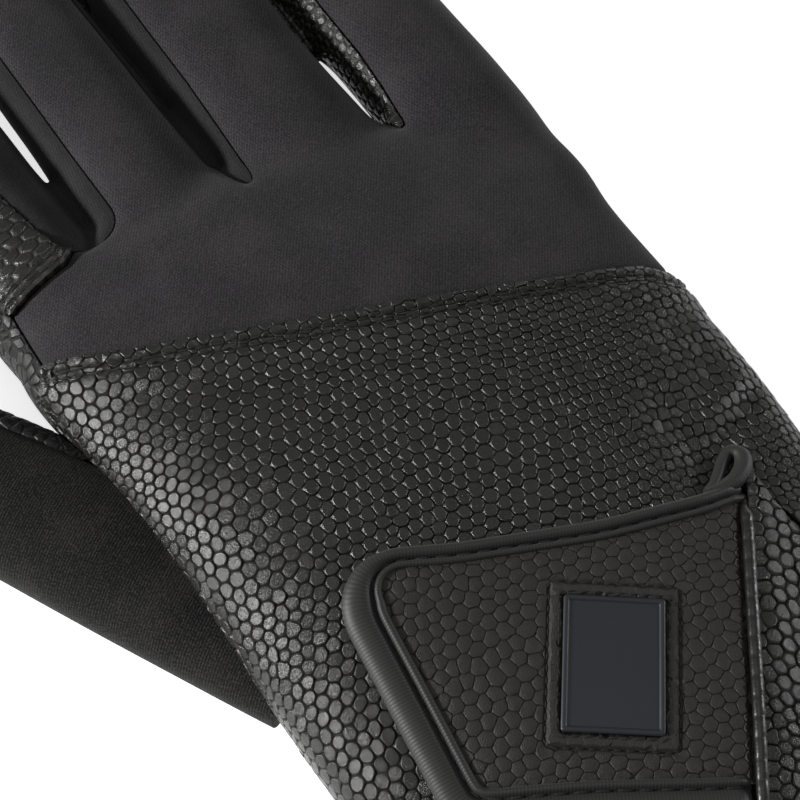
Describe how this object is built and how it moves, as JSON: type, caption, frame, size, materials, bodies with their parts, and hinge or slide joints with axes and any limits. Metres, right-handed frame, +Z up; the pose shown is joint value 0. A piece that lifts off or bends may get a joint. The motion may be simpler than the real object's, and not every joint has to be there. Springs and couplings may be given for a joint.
{
  "type": "horse riding glove",
  "caption": "Right-hand riding glove of fabric and scale-embossed leather, lying palm down, with a strap that closes the wrist.",
  "frame": {"origin": "on the surface that the glove lies on, under the middle of its outline", "axes": "+Y from the wrist hem to the fingertips, +X towards the little finger, +Z up out of the back of the hand"},
  "size_m": [0.1324, 0.224, 0.0275],
  "materials": {
    "leather": "glossy black, embossed with scales",
    "matt_leather": "matt black, embossed with larger scales",
    "fabric": "charcoal softshell",
    "thumb_fabric": "black knit",
    "tape": "dark ribbed binding",
    "rubber": "satin graphite"
  },
  "bodies": {
    "root": {"palm_panel": "leather", "back_panel": "fabric", "index_back": "leather", "fourchette_index_middle": "fabric", "fourchette_middle_ring": "fabric", "fourchette_ring_little": "leather", "cuff_panel": "leather", "side_panel": "leather", "wrist_hem": "tape", "thumb_back": "thumb_fabric", "thumb_front": "leather", "closure_strap": "matt_leather", "strap_binding": "tape", "slit_loop": "tape", "badge": "rubber"}
  },
  "joints": []
}
